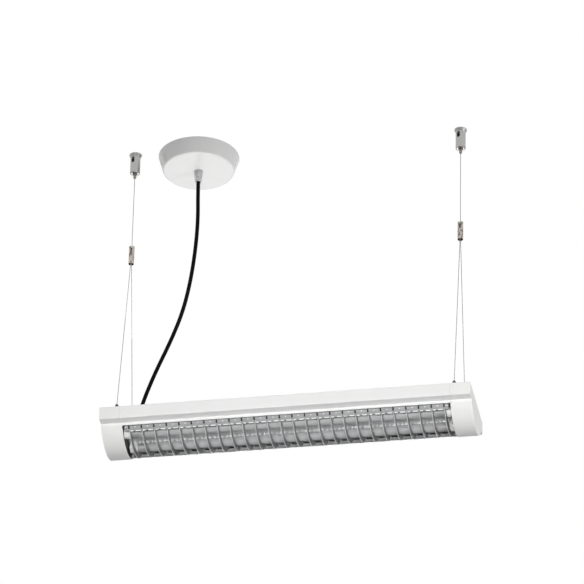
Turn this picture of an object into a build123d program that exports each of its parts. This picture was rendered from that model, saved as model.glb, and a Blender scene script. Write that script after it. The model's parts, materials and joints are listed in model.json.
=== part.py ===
# Linear office pendant: a louvred lamp for two tubes, hung from the ceiling on two wires and fed by a cord.
# Frame: millimetres, +Z up. The origin lies on the ceiling, midway between the two ceiling couplers.
# +X runs along the lamp to its right end, and -Y is the front.
import os
from math import asin, atan2, cos, degrees, hypot, pi, radians, sin, sqrt, tan

from build123d import *

os.makedirs("parts", exist_ok=True)

# Lamp body
drop = 560.0  # from the ceiling to the top of the lamp
body_length = 650.0
body_width = 148.0
box_height = 24.0
ledge_width = 18.0  # the flat underside strip along each long side
rim_height = 5.0  # the upright strip below the ledge
belly_depth = 27.0  # from the rim's lower edge to the lowest point of the curve
cap_length = 36.5
wall = 1.5  # housing profile and end caps
corner_radius = 1.4  # long edges of the box
cap_edge_radius = 1.0  # edges round the end faces
joint_chamfer = 0.8  # edges of the end caps at the joints

# Gear tray, reflector and gear
tray_width = 143.0
tray_sheet = 0.8
tray_end_gap = 7.0  # from the tray's end to the lamp's end
reflector_sheet = 0.6
reflector_lip = 0.7  # past the tray's sides
reflector_past_housing = 2.5
ridge_half_width = 9.0
ridge_depth = 6.0
gear_room = 16.7  # free height between the tray and the reflector
ballast_length = 280.0
ballast_width = 40.0
ballast_height = 15.0
ballast_foot = 12.0
foot_height = 3.0
terminal_length = 42.0
terminal_width = 18.0
terminal_height = 13.0
terminal_entry_radius = 1.6
terminal_offset = 54.0  # from the gland to the terminal's middle, along the lamp

# Tubes and their holders
tube_radius = 8.0
tube_end_room = 50.5  # from a tube's end to the lamp's end
tube_cap_length = 12.5
tube_glass = 0.8
tube_spacing = 52.0
tube_headroom = 2.4  # from the reflector down to the tube
contact_pin_radius = 1.2
contact_pin_length = 7.0
contact_pin_spacing = 5.0
holder_radius = 8.6
holder_gap = 0.7  # from the tube's end to the holder's face
holder_depth = 13.8
holder_groove = 0.5
rotor_radius = 7.0
rotor_depth = 7.0
rotor_recess = 0.2
rotor_floor = 0.6  # left behind the rotor's slot
socket_depth = 8.0
stem_width = 12.0
stem_length = 10.0

# Louvre
blade_count = 26
louvre_end_gap = 1.2  # from the joint to half a pitch past the last blade
blade_height = 8.4
blade_recess = 1.6  # how far the blades stay inside the end caps' curve
blade_fold_width = 1.0  # across the folded lower edge
blade_top_width = 4.0
blade_sheet = 0.5
blade_end_inset = 4.2  # from a rail's upper edge to the blades' ends, along the curve
front_rail_width = 9.4
rear_rail_width = 23.5
rail_sheet = 0.8
rail_end_gap = 4.5  # from the rail's end to the end cap's edge
rail_slot_width = 2.6
rail_slot_height = 3.2
rail_slot_inset = 2.3  # from the rail's upper edge to the middle of a slot
ear_radius = 1.5  # the bosses that carry the pins
ear_length = 4.5
ear_inset = 3.4  # from the rail's upper edge to the pin
pin_radius = 1.0
pin_length = 3.4
lug_radius = 2.6
lug_sheet = 2.5
baffle_sheet = 1.0
baffle_setback = 3.5  # from the end cap's edge to the dark plate inside it

# Suspension
wire_inset = 29.0  # from the lamp's end to the wires
wire_radius = 0.6
anchor_y = 66.5  # where the wires of a yoke meet the lamp
anchor_radius = 3.5
anchor_height = 7.4
anchor_shank_radius = 2.0
anchor_shank_length = 8.0
anchor_floor = 4.8  # left under the wire's pocket
nut_radius = 4.0
nut_height = 3.0
barrel_bottom_drop = 229.0  # from the ceiling to the lower end of a yoke barrel
barrel_radius = 5.0
barrel_height = 36.0
chamber_radius = 3.4
chamber_floor = 10.0
chamber_height = 14.0
window_width = 5.0
slot_width = 2.6
front_slot_depth = 15.0
barrel_recess_radius = 4.4
barrel_recess_depth = 3.0
barrel_hole_radius = 1.0
barrel_hole_height = 7.5
barrel_hole_depth = 2.0
barrel_hole_azimuth = 46.0  # degrees from the front towards the right
wire_ball_radius = 2.4
leg_ball_radius = 1.4
leg_ball_y = 1.45  # the balls at the tops of a yoke's two wires stand this far from its axis

# Ceiling couplers
flange_radius = 11.3
flange_edge = 1.2
flange_height = 6.4
coupler_radius = 8.95
coupler_height = 40.0
coupler_foot_radius = 8.1
coupler_foot_height = 0.9
coupler_boss_radius = 4.5
coupler_boss_height = 3.8
spigot_radius = 5.0
spigot_length = 3.0
screw_hole_radius = 2.2
tail_bore_radius = 2.5
spring_seat_drop = 19.8
spring_bore_radius = 4.0
cone_drop = 29.0
cone_height = 4.0
spring_inner_radius = 2.3
spring_outer_radius = 3.6
side_hole_drop = 13.2
side_hole_width = 6.0
side_hole_height = 12.0
side_hole_azimuth = -20.0  # degrees from the front towards the right
plunger_radius = 3.12
plunger_bore_radius = 0.95
plunger_top_drop = 28.5
plunger_reach = 8.6  # below the coupler
plunger_tip_radius = 2.8
grip_ball_radius = 1.4
grip_ball_drop = 31.0
grip_ball_count = 3
wire_end_drop = 11.0

# Canopy and cord
canopy_offset = 84.0  # from the gland to the canopy's middle, along the lamp
canopy_y = 25.0
canopy_top_radius = 73.0
canopy_bottom_radius = 64.0
canopy_height = 29.0
canopy_wall = 1.6
canopy_edge_radius = 4.0
knockout_radius = 9.0
knockout_depth = 0.9
knockout_drop = 15.0
knockout_azimuth = -68.0  # degrees from the front towards the right
bracket_width = 18.0
bracket_sheet = 1.5
bracket_slot_spacing = 70.0
bracket_slot_radius = 2.25
bracket_slot_length = 12.0
bracket_tab_height = 18.0
bracket_tab_gap = 0.3
bracket_wire_hole_radius = 5.0
side_screw_radius = 1.5
side_screw_length = 7.5
side_screw_drop = 12.0
rose_block_length = 30.0
rose_block_width = 16.0
rose_block_height = 12.0
grip_top_radius = 8.0
grip_bottom_radius = 5.6
grip_length = 22.0
grip_thread_radius = 5.5
grip_thread_length = 8.0
grip_nut_radius = 9.0
grip_nut_height = 4.0
grip_screw_radius = 1.2
grip_screw_drop = 15.0
grip_screw_azimuth = 10.0  # degrees from the front towards the right
cord_radius = 3.5
gland_inset = 20.0  # from the left joint to the gland's middle
gland_radius = 9.0
gland_height = 12.0
gland_collar_height = 4.0
gland_dome_radius = 6.0
gland_thread_radius = 6.0
gland_thread_length = 9.0
gland_nut_radius = 9.4
gland_nut_height = 4.0
cord_in_gland = 7.0

# Screws that hold the covers on the tray
cover_screw_radius = 1.5
cover_screw_head_radius = 3.0
cover_screw_length = 8.0
cover_screw_slot = 0.6
housing_screw_x = 150.0
housing_screw_y = 40.0
cap_screw_inset = 19.0  # from the lamp's end
cap_screw_y = 30.0
ballast_screw_radius = 1.8
ballast_screw_head_radius = 3.6
ballast_screw_head_height = 2.2

# Clearances
running_fit = 0.08  # turned pieces that move in a bore
loose_fit = 0.3  # curved faces of pieces that move apart
hole_clearance = 0.15  # screws, threads and studs in their holes
seat_gap = 0.05  # balls at their seats
cord_clearance = 0.3

# Levels and positions that follow from the sizes above
lamp_top = -drop
ledge_z = lamp_top - box_height
rim_z = ledge_z - rim_height
belly_half = body_width / 2 - ledge_width
belly_radius = (belly_half**2 + belly_depth**2) / (2 * belly_depth)
belly_axis_z = rim_z - belly_depth + belly_radius
lamp_end = body_length / 2
joint_x = lamp_end - cap_length
wire_x = lamp_end - wire_inset
gland_x = -(joint_x - gland_inset)
terminal_x = gland_x + terminal_offset
canopy_x = gland_x + canopy_offset
tray_top = lamp_top - wall
tray_under = tray_top - tray_sheet
tray_end = lamp_end - tray_end_gap
reflector_top = tray_under - gear_room
reflector_under = reflector_top - reflector_sheet
reflector_end = joint_x + reflector_past_housing
reflector_width = tray_width + 2 * reflector_lip
tube_z = reflector_under - tube_headroom - tube_radius
tube_end = lamp_end - tube_end_room  # over the metal cap
holder_face = tube_end + holder_gap
pin_slot = 2 * (contact_pin_radius + hole_clearance)
blade_radius = belly_radius - blade_recess
blade_inner_radius = blade_radius - blade_height
rim_inner = belly_half - wall
rail_inner_radius = blade_radius + seat_gap
rail_outer_radius = rail_inner_radius + rail_sheet
rail_top_angle = asin((rim_inner - loose_fit) / rail_outer_radius)
rail_end = joint_x - rail_end_gap
blade_pitch = 2 * (joint_x - louvre_end_gap) / blade_count
blade_angle = rail_top_angle - blade_end_inset / blade_radius
slot_angle = rail_top_angle - rail_slot_inset / blade_radius
hinge_angle = rail_top_angle - ear_inset / blade_radius
hinge_y = blade_radius * sin(hinge_angle)
hinge_z = belly_axis_z - blade_radius * cos(hinge_angle)
barrel_bottom = -barrel_bottom_drop
barrel_top = barrel_bottom + barrel_height
chamber_bottom = barrel_bottom + chamber_floor
chamber_top = chamber_bottom + chamber_height
wire_ball_z = chamber_top - wire_ball_radius - seat_gap
coupler_bottom = -coupler_height
boss_bottom = coupler_bottom - coupler_boss_height
plunger_bottom = coupler_bottom - plunger_reach
plunger_hole_radius = plunger_radius + running_fit
canopy_under = -canopy_height
grip_bottom = canopy_under - grip_length
gland_top = lamp_top + gland_height
sides = {"left": -1, "right": 1}
rows = {"front": -1, "rear": 1}


def upright(x, y):
    """Plane through a vertical axis at x and y, drawn as radius and height."""
    return Plane(origin=(x, y, 0), x_dir=(1, 0, 0), z_dir=(0, -1, 0))


def pillar(x, y):
    """The vertical axis at x and y."""
    return Axis((x, y, 0), (0, 0, 1))


def facing(azimuth):
    """Level direction at an angle from the front towards the right."""
    return Vector(sin(radians(azimuth)), -cos(radians(azimuth)), 0)


def on_belly(radius, angle):
    """Point of the lamp's section, as y and z, at a radius and angle about the belly's axis."""
    return (radius * sin(angle), belly_axis_z - radius * cos(angle))


# Housing: a white extruded profile between the end caps, open below
with BuildPart() as housing_shell:
    with BuildSketch(Plane.YZ.offset(-joint_x)) as housing_section:
        with Locations((0, lamp_top - box_height / 2)):
            Rectangle(body_width, box_height)
        fillet(housing_section.vertices(), corner_radius)
        with Locations((0, ledge_z - rim_height / 2)):
            Rectangle(2 * belly_half, rim_height)
        with Locations((0, lamp_top - box_height / 2)):
            Rectangle(body_width - 2 * wall, box_height - 2 * wall, mode=Mode.SUBTRACT)
        with Locations((0, rim_z)):
            Rectangle(2 * rim_inner, 2 * (rim_height + wall), mode=Mode.SUBTRACT)
    extrude(amount=2 * joint_x)
    with Locations((gland_x, 0, lamp_top)):
        Hole(gland_thread_radius + hole_clearance, depth=wall)
    with Locations(Plane.XY.offset(lamp_top)):
        with GridLocations(2 * housing_screw_x, 2 * housing_screw_y, 2, 2):
            CounterSinkHole(
                cover_screw_radius + hole_clearance,
                cover_screw_head_radius + hole_clearance,
                depth=wall,
                counter_sink_angle=90,
            )
housing_shell.part.label = "housing_shell"
export_step(housing_shell.part, "parts/housing_shell.step")

# Gear tray: an inverted channel that runs the whole lamp and carries everything
with BuildPart() as gear_tray:
    with BuildSketch(Plane.YZ.offset(-tray_end)):
        with Locations((0, tray_top - tray_sheet / 2)):
            Rectangle(tray_width, tray_sheet)
        with Locations((0, (tray_top + reflector_top) / 2)):
            with GridLocations(tray_width - tray_sheet, 0, 2, 1):
                Rectangle(tray_sheet, tray_top - reflector_top)
    extrude(amount=2 * tray_end)
    with Locations((gland_x, 0, tray_top)):
        Hole(gland_thread_radius + hole_clearance, depth=tray_sheet)
    with Locations(Plane.XY.offset(tray_top)):
        with GridLocations(2 * wire_x, 2 * anchor_y, 2, 2):
            Hole(anchor_shank_radius + hole_clearance, depth=tray_sheet)
        with GridLocations(2 * housing_screw_x, 2 * housing_screw_y, 2, 2):
            Hole(cover_screw_radius + hole_clearance, depth=tray_sheet)
        with GridLocations(2 * (lamp_end - cap_screw_inset), 2 * cap_screw_y, 2, 2):
            Hole(cover_screw_radius + hole_clearance, depth=tray_sheet)
        with GridLocations(ballast_length + ballast_foot, 0, 2, 1):
            Hole(ballast_screw_radius + hole_clearance, depth=tray_sheet)
gear_tray.part.label = "gear_tray"
export_step(gear_tray.part, "parts/gear_tray.step")

# End caps: white mouldings with the box and the curved belly in one piece, hollow towards the lamp
for side, sx in sides.items():
    outward = Plane(origin=(sx * joint_x, 0, 0), x_dir=(0, sx, 0), z_dir=(sx, 0, 0))
    with BuildPart() as end_cap:
        with BuildSketch(outward) as cap_section:
            with Locations((0, lamp_top - box_height / 2)):
                Rectangle(body_width, box_height)
            fillet(cap_section.vertices(), corner_radius)
            with BuildLine():
                ThreePointArc((-belly_half, rim_z), (0, rim_z - belly_depth), (belly_half, rim_z))
                Polyline(
                    (belly_half, rim_z),
                    (belly_half, ledge_z + wall),
                    (-belly_half, ledge_z + wall),
                    (-belly_half, rim_z),
                )
            make_face()
        extrude(amount=cap_length)
        end_face = end_cap.faces().sort_by(Axis.X)[0 if sx < 0 else -1]
        fillet(end_face.outer_wire().edges(), cap_edge_radius)
        joint_face = end_cap.faces().sort_by(Axis.X)[-1 if sx < 0 else 0]
        chamfer(joint_face.outer_wire().edges(), joint_chamfer)
        with BuildSketch(outward):
            with Locations((0, lamp_top - box_height / 2)):
                Rectangle(body_width - 2 * wall, box_height - 2 * wall)
            with BuildLine():
                ThreePointArc((-rim_inner, rim_z), (0, rim_z - belly_depth + wall), (rim_inner, rim_z))
                Polyline(
                    (rim_inner, rim_z),
                    (rim_inner, ledge_z + 2 * wall),
                    (-rim_inner, ledge_z + 2 * wall),
                    (-rim_inner, rim_z),
                )
            make_face()
        extrude(amount=cap_length - wall, mode=Mode.SUBTRACT)
        with Locations(Plane.XY.offset(lamp_top)):
            with Locations((sx * wire_x, -anchor_y), (sx * wire_x, anchor_y)):
                Hole(anchor_shank_radius + hole_clearance, depth=wall)
            cap_screw_x = sx * (lamp_end - cap_screw_inset)
            with Locations((cap_screw_x, -cap_screw_y), (cap_screw_x, cap_screw_y)):
                CounterSinkHole(
                    cover_screw_radius + hole_clearance,
                    cover_screw_head_radius + hole_clearance,
                    depth=wall,
                    counter_sink_angle=90,
                )
    end_cap.part.label = f"end_cap_{side}"
    export_step(end_cap.part, f"parts/end_cap_{side}.step")

# Countersunk screws that hold the housing and the end caps on the tray
with BuildPart() as cover_screws:
    with Locations(Plane.XY.offset(lamp_top)):
        with GridLocations(2 * housing_screw_x, 2 * housing_screw_y, 2, 2):
            Cylinder(cover_screw_radius, cover_screw_length, align=(Align.CENTER, Align.CENTER, Align.MAX))
        with GridLocations(2 * (lamp_end - cap_screw_inset), 2 * cap_screw_y, 2, 2):
            Cylinder(cover_screw_radius, cover_screw_length, align=(Align.CENTER, Align.CENTER, Align.MAX))
    head_places = GridLocations(2 * housing_screw_x, 2 * housing_screw_y, 2, 2).locations
    head_places += GridLocations(2 * (lamp_end - cap_screw_inset), 2 * cap_screw_y, 2, 2).locations
    head_drop = cover_screw_head_radius - cover_screw_radius
    for place in head_places:
        with Locations((place.position.X, place.position.Y, lamp_top)):
            Cone(
                cover_screw_radius,
                cover_screw_head_radius,
                head_drop,
                align=(Align.CENTER, Align.CENTER, Align.MAX),
            )
            Box(
                2 * cover_screw_head_radius,
                cover_screw_slot,
                2 * cover_screw_slot,
                mode=Mode.SUBTRACT,
            )
cover_screws.part.label = "cover_screws"
export_step(cover_screws.part, "parts/cover_screws.step")

# Reflector: a bright sheet above the tubes, folded down to a ridge between them
with BuildPart() as reflector:
    with BuildSketch(Plane.YZ.offset(-reflector_end)):
        with BuildLine():
            Polyline(
                (-reflector_width / 2, reflector_top),
                (-ridge_half_width, reflector_top),
                (0, reflector_top - ridge_depth),
                (ridge_half_width, reflector_top),
                (reflector_width / 2, reflector_top),
                (reflector_width / 2, reflector_under),
                (ridge_half_width, reflector_under),
                (0, reflector_under - ridge_depth),
                (-ridge_half_width, reflector_under),
                (-reflector_width / 2, reflector_under),
                close=True,
            )
        make_face()
    extrude(amount=2 * reflector_end)
reflector.part.label = "reflector"
export_step(reflector.part, "parts/reflector.step")

# Electronic ballast under the tray, with a foot at each end
with BuildPart() as ballast:
    with Locations((0, 0, tray_under)):
        Box(
            ballast_length,
            ballast_width,
            ballast_height,
            align=(Align.CENTER, Align.CENTER, Align.MAX),
        )
        Box(
            ballast_length + 2 * ballast_foot,
            ballast_width / 2,
            foot_height,
            align=(Align.CENTER, Align.CENTER, Align.MAX),
        )
    with Locations(Plane.XY.offset(tray_under)):
        with GridLocations(ballast_length + ballast_foot, 0, 2, 1):
            Hole(ballast_screw_radius + hole_clearance, depth=foot_height)
ballast.part.label = "ballast"
export_step(ballast.part, "parts/ballast.step")

# Pan-head screws through the ballast's feet
with BuildPart() as ballast_screws:
    with Locations(Plane.XY.offset(tray_under - foot_height)):
        with GridLocations(ballast_length + ballast_foot, 0, 2, 1):
            Cylinder(
                ballast_screw_head_radius,
                ballast_screw_head_height,
                align=(Align.CENTER, Align.CENTER, Align.MAX),
            )
            Cylinder(
                ballast_screw_radius,
                foot_height + tray_sheet,
                align=(Align.CENTER, Align.CENTER, Align.MIN),
            )
ballast_screws.part.label = "ballast_screws"
export_step(ballast_screws.part, "parts/ballast_screws.step")

# Mains terminal block inside the lamp, with three wire entries through it
with BuildPart() as mains_terminal:
    with Locations((terminal_x, 0, tray_under)):
        Box(
            terminal_length,
            terminal_width,
            terminal_height,
            align=(Align.CENTER, Align.CENTER, Align.MAX),
        )
    with BuildSketch(Plane.YZ.offset(terminal_x)):
        with Locations((0, tray_under - terminal_height / 2)):
            with GridLocations(terminal_width / 3, 0, 3, 1):
                Circle(terminal_entry_radius)
    extrude(amount=terminal_length, both=True, mode=Mode.SUBTRACT)
mains_terminal.part.label = "mains_terminal"
export_step(mains_terminal.part, "parts/mains_terminal.step")

# Cable gland on top of the lamp, and its nut under the tray
with BuildPart() as cord_gland:
    with BuildSketch(upright(gland_x, 0)):
        with BuildLine():
            Polyline(
                (cord_radius + cord_clearance, lamp_top - gland_thread_length),
                (gland_thread_radius, lamp_top - gland_thread_length),
                (gland_thread_radius, lamp_top),
                (gland_radius, lamp_top),
                (gland_radius, lamp_top + gland_collar_height),
                (gland_dome_radius, gland_top),
                (cord_radius + cord_clearance, gland_top),
                close=True,
            )
        make_face()
    revolve(axis=pillar(gland_x, 0))
cord_gland.part.label = "cord_gland"
export_step(cord_gland.part, "parts/cord_gland.step")

with BuildPart() as gland_nut:
    with BuildSketch(Plane.XY.offset(tray_under)):
        with Locations((gland_x, 0)):
            RegularPolygon(gland_nut_radius, 6)
            Circle(gland_thread_radius + hole_clearance, mode=Mode.SUBTRACT)
    extrude(amount=-gland_nut_height)
gland_nut.part.label = "gland_nut"
export_step(gland_nut.part, "parts/gland_nut.step")

# Lampholders: round white sockets on a stem under the reflector, slotted below to let the pins in
for row, sy in rows.items():
    for side, sx in sides.items():
        tube_y = sy * tube_spacing / 2
        face = Plane(origin=(sx * holder_face, tube_y, tube_z), x_dir=(0, sx, 0), z_dir=(sx, 0, 0))
        with BuildPart() as lampholder:
            with BuildSketch(face):
                Circle(holder_radius)
            extrude(amount=holder_depth)
            with BuildSketch(face.offset(holder_depth / 2)):
                Circle(holder_radius)
                Circle(holder_radius - holder_groove, mode=Mode.SUBTRACT)
            extrude(amount=2 * holder_groove, mode=Mode.SUBTRACT)
            with Locations((sx * (holder_face + holder_depth), tube_y, reflector_under)):
                Box(
                    stem_length,
                    stem_width,
                    reflector_under - tube_z,
                    align=(Align.MAX if sx > 0 else Align.MIN, Align.CENTER, Align.MAX),
                )
            with BuildSketch(face):
                Circle(rotor_radius + running_fit)
                with Locations((0, -holder_radius)):
                    Rectangle(pin_slot, 2 * holder_radius)
            extrude(amount=socket_depth, mode=Mode.SUBTRACT)
        lampholder.part.label = f"lampholder_{row}_{side}"
        export_step(lampholder.part, f"parts/lampholder_{row}_{side}.step")

# Tubes: glass, end caps with contact pins, and the socket rotors that turn with the tube
for row, sy in rows.items():
    tube_y = sy * tube_spacing / 2
    glass_end = tube_end - tube_cap_length
    across = Plane.YZ.offset(-glass_end)
    with BuildPart() as tube_body:
        with BuildSketch(across):
            with Locations((tube_y, tube_z)):
                Circle(tube_radius)
                Circle(tube_radius - tube_glass, mode=Mode.SUBTRACT)
        extrude(amount=2 * glass_end)
    tube_body.part.label = f"tube_glass_{row}"
    export_step(tube_body.part, f"parts/tube_glass_{row}.step")

    with BuildPart() as tube_caps:
        for sx in sides.values():
            with BuildSketch(Plane.YZ.offset(sx * glass_end)):
                with Locations((tube_y, tube_z)):
                    Circle(tube_radius)
            extrude(amount=sx * tube_cap_length)
    tube_caps.part.label = f"tube_caps_{row}"
    export_step(tube_caps.part, f"parts/tube_caps_{row}.step")

    with BuildPart() as tube_pins:
        for sx in sides.values():
            with BuildSketch(Plane.YZ.offset(sx * tube_end)):
                with Locations((tube_y, tube_z)):
                    with GridLocations(contact_pin_spacing, 0, 2, 1):
                        Circle(contact_pin_radius)
            extrude(amount=sx * contact_pin_length)
    tube_pins.part.label = f"tube_pins_{row}"
    export_step(tube_pins.part, f"parts/tube_pins_{row}.step")

    with BuildPart() as socket_rotors:
        for sx in sides.values():
            with BuildSketch(Plane.YZ.offset(sx * (holder_face + rotor_recess))):
                with Locations((tube_y, tube_z)):
                    Circle(rotor_radius)
            extrude(amount=sx * rotor_depth)
            with BuildSketch(Plane.YZ.offset(sx * (holder_face + rotor_recess))):
                with Locations((tube_y, tube_z)):
                    Rectangle(2 * rotor_radius, pin_slot)
            extrude(amount=sx * (rotor_depth - rotor_floor), mode=Mode.SUBTRACT)
    socket_rotors.part.label = f"socket_rotors_{row}"
    export_step(socket_rotors.part, f"parts/socket_rotors_{row}.step")

# Louvre blades: folded sheet, closed at the lower edge and open above, bent round the belly's axis
with BuildPart() as louvre_blades:
    first_x = -blade_pitch * (blade_count - 1) / 2
    for index in range(blade_count):
        blade_x = first_x + index * blade_pitch
        start = Plane(
            origin=(blade_x, 0, belly_axis_z),
            x_dir=(1, 0, 0),
            z_dir=(0, cos(blade_angle), -sin(blade_angle)),
        )
        with BuildSketch(start):
            with BuildLine():
                Polyline(
                    (-blade_fold_width / 2, blade_radius),
                    (blade_fold_width / 2, blade_radius),
                    (blade_top_width / 2, blade_inner_radius),
                    (blade_top_width / 2 - blade_sheet, blade_inner_radius),
                    (0, blade_radius - 2 * blade_sheet),
                    (-blade_top_width / 2 + blade_sheet, blade_inner_radius),
                    (-blade_top_width / 2, blade_inner_radius),
                    close=True,
                )
            make_face()
        revolve(axis=Axis((0, 0, belly_axis_z), (1, 0, 0)), revolution_arc=2 * degrees(blade_angle))
louvre_blades.part.label = "louvre_blades"
export_step(louvre_blades.part, "parts/louvre_blades.step")

# Louvre rails: curved strips round the blades' ends, slotted at each blade, with a boss for a pin at each end
rail_widths = {"front": front_rail_width, "rear": rear_rail_width}
for row, sy in rows.items():
    low_angle = rail_top_angle - rail_widths[row] / rail_outer_radius
    mid_angle = (low_angle + rail_top_angle) / 2
    slot_radius = rail_inner_radius + rail_sheet / 2
    slot_face = Plane(
        origin=(0, sy * slot_radius * sin(slot_angle), belly_axis_z - slot_radius * cos(slot_angle)),
        x_dir=(1, 0, 0),
        z_dir=(0, sy * sin(slot_angle), -cos(slot_angle)),
    )
    with BuildPart() as louvre_rail:
        with BuildSketch(Plane.YZ.offset(-rail_end)):
            with BuildLine():
                inner = ThreePointArc(
                    on_belly(rail_inner_radius, sy * low_angle),
                    on_belly(rail_inner_radius, sy * mid_angle),
                    on_belly(rail_inner_radius, sy * rail_top_angle),
                )
                outer = ThreePointArc(
                    on_belly(rail_outer_radius, sy * low_angle),
                    on_belly(rail_outer_radius, sy * mid_angle),
                    on_belly(rail_outer_radius, sy * rail_top_angle),
                )
                Line(inner @ 0, outer @ 0)
                Line(inner @ 1, outer @ 1)
            make_face()
        extrude(amount=2 * rail_end)
        for sx in sides.values():
            with BuildSketch(Plane.YZ.offset(sx * (rail_end - ear_length))):
                with Locations((sy * hinge_y, hinge_z)):
                    Circle(ear_radius)
            extrude(amount=sx * ear_length)
        with BuildSketch(slot_face):
            with GridLocations(blade_pitch, 0, blade_count, 1):
                Rectangle(rail_slot_width, rail_slot_height)
        extrude(amount=rail_sheet, both=True, mode=Mode.SUBTRACT)
    louvre_rail.part.label = f"louvre_rail_{row}"
    export_step(louvre_rail.part, f"parts/louvre_rail_{row}.step")

# Pins at both ends of both rails: the rear ones are the hinge, the front ones snap into the catches
with BuildPart() as louvre_pins:
    for sx in sides.values():
        with BuildSketch(Plane.YZ.offset(sx * rail_end)):
            with Locations((-hinge_y, hinge_z), (hinge_y, hinge_z)):
                Circle(pin_radius)
        extrude(amount=sx * pin_length)
louvre_pins.part.label = "louvre_pins"
export_step(louvre_pins.part, "parts/louvre_pins.step")

# Hinge lugs on the inside of the rear rim
with BuildPart() as hinge_lugs:
    for sx in sides.values():
        with BuildSketch(Plane.YZ.offset(sx * (rail_end + loose_fit))):
            with Locations((hinge_y, hinge_z)):
                Circle(lug_radius)
            with BuildLine():
                Polyline(
                    (hinge_y, hinge_z),
                    (rim_inner, rim_z + rim_height / 2),
                    (rim_inner, ledge_z + wall),
                    (hinge_y - lug_radius, ledge_z + wall),
                    (hinge_y - lug_radius, hinge_z),
                    close=True,
                )
            make_face()
            with Locations((hinge_y, hinge_z)):
                Circle(pin_radius + running_fit, mode=Mode.SUBTRACT)
        extrude(amount=sx * lug_sheet)
hinge_lugs.part.label = "hinge_lugs"
export_step(hinge_lugs.part, "parts/hinge_lugs.step")

# Catches on the inside of the front rim: forks that are open below, so the front pins drop out
with BuildPart() as louvre_catches:
    for sx in sides.values():
        with BuildSketch(Plane.YZ.offset(sx * (rail_end + loose_fit))):
            with BuildLine():
                Polyline(
                    (-hinge_y - lug_radius, hinge_z - lug_radius / 2),
                    (-hinge_y + lug_radius, hinge_z - lug_radius / 2),
                    (-hinge_y + lug_radius, ledge_z + wall),
                    (-rim_inner, ledge_z + wall),
                    (-rim_inner, rim_z),
                    (-hinge_y - lug_radius, rim_z - loose_fit),
                    close=True,
                )
            make_face()
            with Locations((-hinge_y, hinge_z)):
                Circle(pin_radius + loose_fit, mode=Mode.SUBTRACT)
                Rectangle(
                    2 * (pin_radius + loose_fit),
                    lug_radius,
                    align=(Align.CENTER, Align.MAX),
                    mode=Mode.SUBTRACT,
                )
        extrude(amount=sx * lug_sheet)
louvre_catches.part.label = "louvre_catches"
export_step(louvre_catches.part, "parts/louvre_catches.step")

# Dark end baffles: plates inside the end caps, behind the lampholders
with BuildPart() as end_baffles:
    baffle_top = reflector_under - loose_fit
    baffle_half = rim_inner - loose_fit
    baffle_bottom = rim_z - belly_depth + wall + loose_fit
    for sx in sides.values():
        with BuildSketch(Plane.YZ.offset(sx * (joint_x + baffle_setback))):
            with BuildLine():
                ThreePointArc((-baffle_half, rim_z), (0, baffle_bottom), (baffle_half, rim_z))
                Polyline(
                    (baffle_half, rim_z),
                    (baffle_half, baffle_top),
                    (-baffle_half, baffle_top),
                    (-baffle_half, rim_z),
                )
            make_face()
        extrude(amount=sx * baffle_sheet)
end_baffles.part.label = "end_baffles"
export_step(end_baffles.part, "parts/end_baffles.step")

# Anchors on top of the lamp, one at the foot of each yoke wire, and their nuts under the tray
anchor_places = [(sx * wire_x, sy * anchor_y) for sx in sides.values() for sy in rows.values()]
anchor_pocket = anchor_height - anchor_floor
with BuildPart() as wire_anchors:
    for anchor in anchor_places:
        with BuildSketch(upright(*anchor)):
            with BuildLine():
                Polyline(
                    (0, lamp_top - anchor_shank_length),
                    (anchor_shank_radius, lamp_top - anchor_shank_length),
                    (anchor_shank_radius, lamp_top),
                    (anchor_radius, lamp_top),
                    (anchor_radius, lamp_top + anchor_height / 2),
                    (anchor_radius / 2, lamp_top + anchor_height),
                    (2 * wire_radius, lamp_top + anchor_height),
                    (2 * wire_radius, lamp_top + anchor_height - anchor_pocket),
                    (0, lamp_top + anchor_height - anchor_pocket),
                    close=True,
                )
            make_face()
        revolve(axis=pillar(*anchor))
wire_anchors.part.label = "wire_anchors"
export_step(wire_anchors.part, "parts/wire_anchors.step")

with BuildPart() as anchor_nuts:
    with BuildSketch(Plane.XY.offset(tray_under)):
        with Locations(*anchor_places):
            RegularPolygon(nut_radius, 6)
            Circle(anchor_shank_radius + hole_clearance, mode=Mode.SUBTRACT)
    extrude(amount=-nut_height)
anchor_nuts.part.label = "anchor_nuts"
export_step(anchor_nuts.part, "parts/anchor_nuts.step")

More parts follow.
